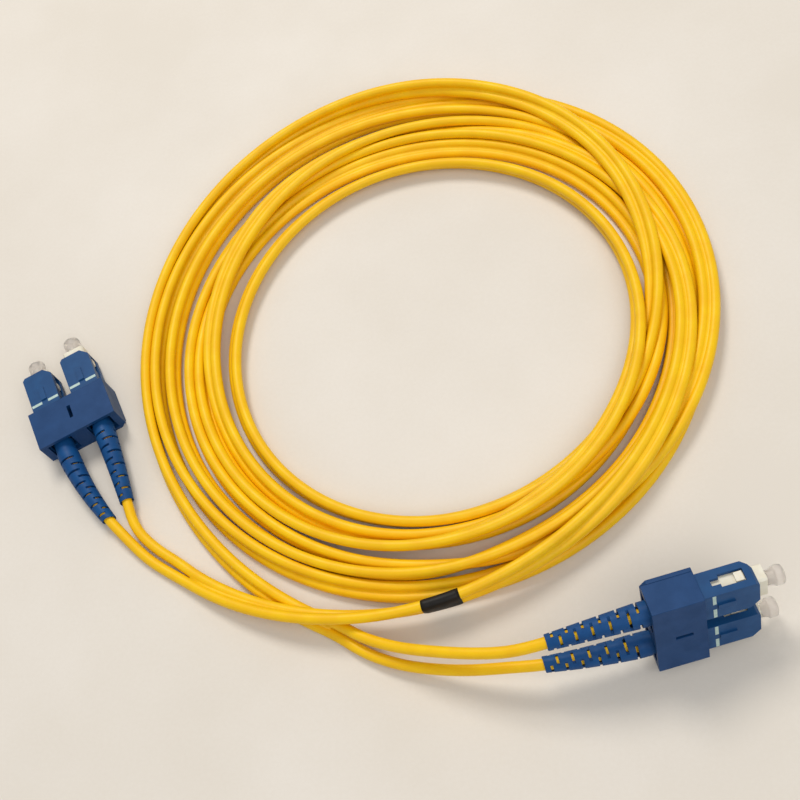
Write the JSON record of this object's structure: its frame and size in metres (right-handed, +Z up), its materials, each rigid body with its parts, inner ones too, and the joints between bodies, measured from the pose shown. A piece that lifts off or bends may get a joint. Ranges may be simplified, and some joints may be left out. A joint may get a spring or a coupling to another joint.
{
  "type": "fiber optic patch cord",
  "caption": "Duplex optical patch cord: a loose coil of yellow twin cord with a clipped pair of blue push-pull plugs, soft slotted boots and clear dust caps at each end.",
  "frame": {"origin": "on the table, under the middle of the box around both pairs of plugs, without the cord", "axes": "+X from the left pair of plugs towards the right pair, +Y across the table towards the coil, +Z up from the table"},
  "size_m": [0.2135, 0.1913, 0.0274],
  "materials": {
    "blue_housing": "moulded, satin gloss",
    "blue_clip": "moulded, satin",
    "blue_boot": "moulded soft plastic, satin",
    "ivory_frame": "moulded, satin",
    "zirconia": "ground, polished end",
    "steel": "turned",
    "spring_steel": "drawn wire",
    "nickel_brass": "nickel plated, satin",
    "clear_cap": "translucent, soft gloss",
    "white_buffer": "extruded",
    "yellow_jacket": "extruded, soft gloss",
    "black_sleeve": "shrunk tubing, semi-matt"
  },
  "bodies": {
    "cord_and_frames": {"plug_frame_a1": "ivory_frame", "stop_ring_a1": "nickel_brass", "crimp_sleeve_a1": "nickel_brass", "boot_a1": "blue_boot", "ferrule_spring_a1": "spring_steel", "buffered_fibre_a1": "white_buffer", "plug_frame_a2": "ivory_frame", "stop_ring_a2": "nickel_brass", "crimp_sleeve_a2": "nickel_brass", "boot_a2": "blue_boot", "ferrule_spring_a2": "spring_steel", "buffered_fibre_a2": "white_buffer", "plug_frame_b1": "ivory_frame", "stop_ring_b1": "nickel_brass", "crimp_sleeve_b1": "nickel_brass", "boot_b1": "blue_boot", "ferrule_spring_b1": "spring_steel", "buffered_fibre_b1": "white_buffer", "plug_frame_b2": "ivory_frame", "stop_ring_b2": "nickel_brass", "crimp_sleeve_b2": "nickel_brass", "boot_b2": "blue_boot", "ferrule_spring_b2": "spring_steel", "buffered_fibre_b2": "white_buffer", "cord_leg_a1": "yellow_jacket", "cord_leg_a2": "yellow_jacket", "cord_leg_b1": "yellow_jacket", "cord_leg_b2": "yellow_jacket", "cord_lead_a": "yellow_jacket", "cord_lead_b": "yellow_jacket", "cord_coil": "yellow_jacket", "marker_sleeve": "black_sleeve"},
    "grip_a": {"outer_housing_a1": "blue_housing", "outer_housing_a2": "blue_housing", "clip_body_a": "blue_clip", "clip_cover_a": "blue_clip"},
    "grip_b": {"outer_housing_b1": "blue_housing", "outer_housing_b2": "blue_housing", "clip_body_b": "blue_clip", "clip_cover_b": "blue_clip"},
    "ferrule_unit_a1": {"ferrule_a1": "zirconia", "ferrule_flange_a1": "steel"},
    "cap_a1": {"dust_cap_a1": "clear_cap"},
    "ferrule_unit_a2": {"ferrule_a2": "zirconia", "ferrule_flange_a2": "steel"},
    "cap_a2": {"dust_cap_a2": "clear_cap"},
    "ferrule_unit_b1": {"ferrule_b1": "zirconia", "ferrule_flange_b1": "steel"},
    "cap_b1": {"dust_cap_b1": "clear_cap"},
    "ferrule_unit_b2": {"ferrule_b2": "zirconia", "ferrule_flange_b2": "steel"},
    "cap_b2": {"dust_cap_b2": "clear_cap"}
  },
  "joints": [
    {"name": "grip_slide_a", "type": "slide", "parent": "cord_and_frames", "child": "grip_a", "axis": [-0.4195, 0.9078, 0], "range_m": [0, 0.0018]},
    {"name": "grip_slide_b", "type": "slide", "parent": "cord_and_frames", "child": "grip_b", "axis": [0.9652, 0.2496, -0.0785], "range_m": [0, 0.0018]},
    {"name": "ferrule_press_a1", "type": "slide", "parent": "cord_and_frames", "child": "ferrule_unit_a1", "axis": [-0.4195, 0.9078, 0], "range_m": [-0.0015, 0], "stiffness_N_per_m": 200, "springref_m": 0.0003, "deforming": ["ferrule_spring_a1"]},
    {"name": "ferrule_press_a2", "type": "slide", "parent": "cord_and_frames", "child": "ferrule_unit_a2", "axis": [-0.4195, 0.9078, 0], "range_m": [-0.0015, 0], "stiffness_N_per_m": 200, "springref_m": 0.0003, "deforming": ["ferrule_spring_a2"]},
    {"name": "ferrule_press_b1", "type": "slide", "parent": "cord_and_frames", "child": "ferrule_unit_b1", "axis": [0.9652, 0.2496, -0.0785], "range_m": [-0.0015, 0], "stiffness_N_per_m": 200, "springref_m": 0.0003, "deforming": ["ferrule_spring_b1"]},
    {"name": "ferrule_press_b2", "type": "slide", "parent": "cord_and_frames", "child": "ferrule_unit_b2", "axis": [0.9652, 0.2496, -0.0785], "range_m": [-0.0015, 0], "stiffness_N_per_m": 200, "springref_m": 0.0003, "deforming": ["ferrule_spring_b2"]},
    {"name": "cap_pull_a1", "type": "slide", "parent": "ferrule_unit_a1", "child": "cap_a1", "axis": [-0.4195, 0.9078, 0], "range_m": [0, 0.01]},
    {"name": "cap_pull_a2", "type": "slide", "parent": "ferrule_unit_a2", "child": "cap_a2", "axis": [-0.4195, 0.9078, 0], "range_m": [0, 0.01]},
    {"name": "cap_pull_b1", "type": "slide", "parent": "ferrule_unit_b1", "child": "cap_b1", "axis": [0.9652, 0.2496, -0.0785], "range_m": [0, 0.01]},
    {"name": "cap_pull_b2", "type": "slide", "parent": "ferrule_unit_b2", "child": "cap_b2", "axis": [0.9652, 0.2496, -0.0785], "range_m": [0, 0.01]}
  ]
}
